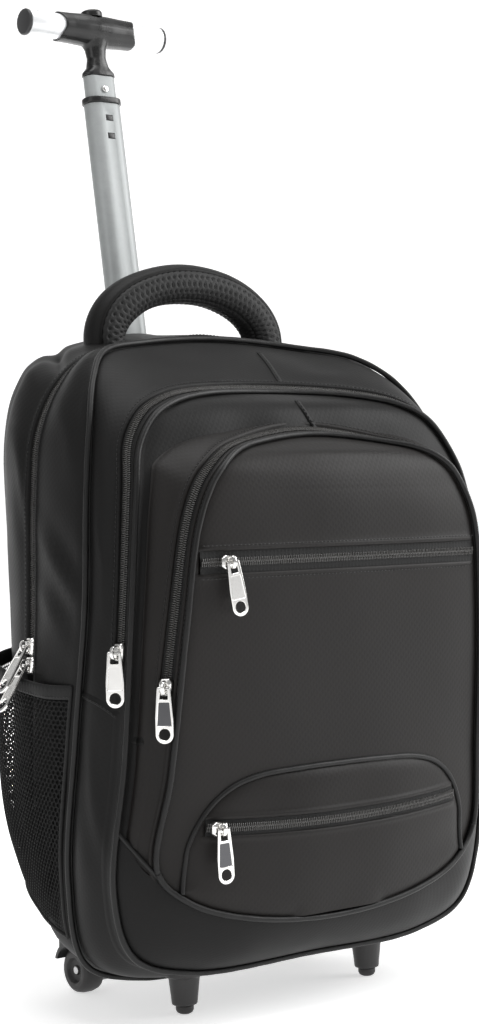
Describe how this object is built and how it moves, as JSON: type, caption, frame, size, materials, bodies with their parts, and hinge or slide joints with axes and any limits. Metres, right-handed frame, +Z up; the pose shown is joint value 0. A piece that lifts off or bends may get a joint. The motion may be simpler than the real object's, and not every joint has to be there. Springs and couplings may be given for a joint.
{
  "type": "wheeled backpack",
  "caption": "Black fabric wheeled backpack: three arched zipped compartments, mesh side pockets, top grab handle, shoulder straps, telescoping pole with T grip, rear wheels, front legs.",
  "frame": {"origin": "on the floor under the middle of the bounding box", "axes": "+Z up, front (the pocketed face) towards -Y, shoulder straps towards +Y, +X to the right seen from the front"},
  "size_m": [0.3778, 0.3177, 0.7643],
  "materials": {
    "fabric": "black woven polyester",
    "panel": "black woven polyester, a little lighter",
    "cord": "black woven cord and webbing",
    "zip": "black woven tape with coil teeth",
    "nickel": "polished nickel",
    "mesh": "black knitted net",
    "padding": "padded spacer cloth",
    "plastic": "moulded, fine grain",
    "steel": "plain",
    "tyre": "moulded",
    "rubber": "moulded",
    "tube": "satin anodised",
    "silver": "satin, light"
  },
  "bodies": {
    "bag": {"main_shell": "fabric", "mid_shell": "fabric", "kick_panel": "fabric", "front_shell": "panel", "arc_pocket": "panel", "piping_main": "cord", "piping_mid": "cord", "piping_front": "cord", "webbing_left": "cord", "webbing_right": "cord", "zip_main": "zip", "zip_mid": "zip", "zip_front": "zip", "zip_panel": "zip", "zip_pocket": "zip", "slider_main_upper": "nickel", "slider_main_lower": "nickel", "slider_mid": "nickel", "slider_front": "nickel", "slider_panel": "nickel", "slider_pocket": "nickel", "mesh_pocket_left": "mesh", "mesh_pocket_right": "mesh", "grab_handle": "padding", "back_panel": "padding", "strap_left": "padding", "strap_right": "padding", "base_plate": "plastic", "wheel_housing_left": "plastic", "wheel_housing_right": "plastic", "leg_left": "plastic", "leg_right": "plastic", "pole_bezel": "plastic", "wheel_axle_left": "steel", "wheel_axle_right": "steel", "glide_left": "rubber", "glide_right": "rubber", "pole_sleeve": "tube"},
    "lower_stage": {"pole_outer": "tube", "pole_collar": "plastic"},
    "upper_stage": {"pole_inner": "tube", "grip_screw": "nickel", "grip_hub": "plastic", "grip_tube_left": "silver", "grip_tube_right": "silver", "grip_cap_left": "plastic", "grip_cap_right": "plastic"},
    "button": {"grip_button": "plastic"},
    "left_wheel": {"wheel_left": "tyre"},
    "right_wheel": {"wheel_right": "tyre"},
    "tab_main_upper": {"pull_main_upper": "nickel"},
    "tab_main_lower": {"pull_main_lower": "nickel"},
    "tab_mid": {"pull_mid": "nickel"},
    "tab_front": {"pull_front": "nickel"},
    "tab_panel": {"pull_panel": "nickel"},
    "tab_pocket": {"pull_pocket": "nickel"}
  },
  "joints": [
    {"name": "lower_pole_slide", "type": "slide", "parent": "bag", "child": "lower_stage", "axis": [0, 0.1532, 0.9882], "range_m": [-0.19, 0]},
    {"name": "upper_pole_slide", "type": "slide", "parent": "lower_stage", "child": "upper_stage", "axis": [0, 0.1532, 0.9882], "range_m": [0, 0.25]},
    {"name": "button_press", "type": "slide", "parent": "upper_stage", "child": "button", "axis": [0, 0.1532, 0.9882], "range_m": [-0.0025, 0], "stiffness_N_per_m": 400, "springref_m": 0.002},
    {"name": "left_wheel_spin", "type": "hinge", "parent": "bag", "child": "left_wheel", "pos_m": [-0.0919, 0.0444, 0.017], "axis": [1, 0, 0], "continuous": true},
    {"name": "right_wheel_spin", "type": "hinge", "parent": "bag", "child": "right_wheel", "pos_m": [0.1081, 0.0444, 0.017], "axis": [1, 0, 0], "continuous": true},
    {"name": "pull_swing_main_upper", "type": "hinge", "parent": "bag", "child": "tab_main_upper", "pos_m": [-0.16747, -0.00504, 0.26372], "axis": [0.0799, 0.9968, 0], "range_deg": [0, 95]},
    {"name": "pull_swing_main_lower", "type": "hinge", "parent": "bag", "child": "tab_main_lower", "pos_m": [-0.16798, -0.00502, 0.25022], "axis": [0.0799, 0.9968, 0], "range_deg": [0, 95]},
    {"name": "pull_swing_mid", "type": "hinge", "parent": "bag", "child": "tab_mid", "pos_m": [-0.1604, -0.10615, 0.26274], "axis": [-0.2288, 0.9735, 0], "range_deg": [0, 105]},
    {"name": "pull_swing_front", "type": "hinge", "parent": "bag", "child": "tab_front", "pos_m": [-0.14041, -0.13376, 0.23901], "axis": [-0.6036, 0.7973, 0], "range_deg": [0, 105]},
    {"name": "pull_swing_panel", "type": "hinge", "parent": "bag", "child": "tab_panel", "pos_m": [-0.09666, -0.15593, 0.3215], "axis": [-0.9934, 0.1148, 0], "range_deg": [0, 105]},
    {"name": "pull_swing_pocket", "type": "hinge", "parent": "bag", "child": "tab_pocket", "pos_m": [-0.10069, -0.14313, 0.1415], "axis": [-0.9929, 0.1191, 0], "range_deg": [0, 105]}
  ],
  "couplings": [
    {"joint": "pull_swing_main_upper", "follows": "pull_swing_main_lower", "ratio": 1}
  ]
}
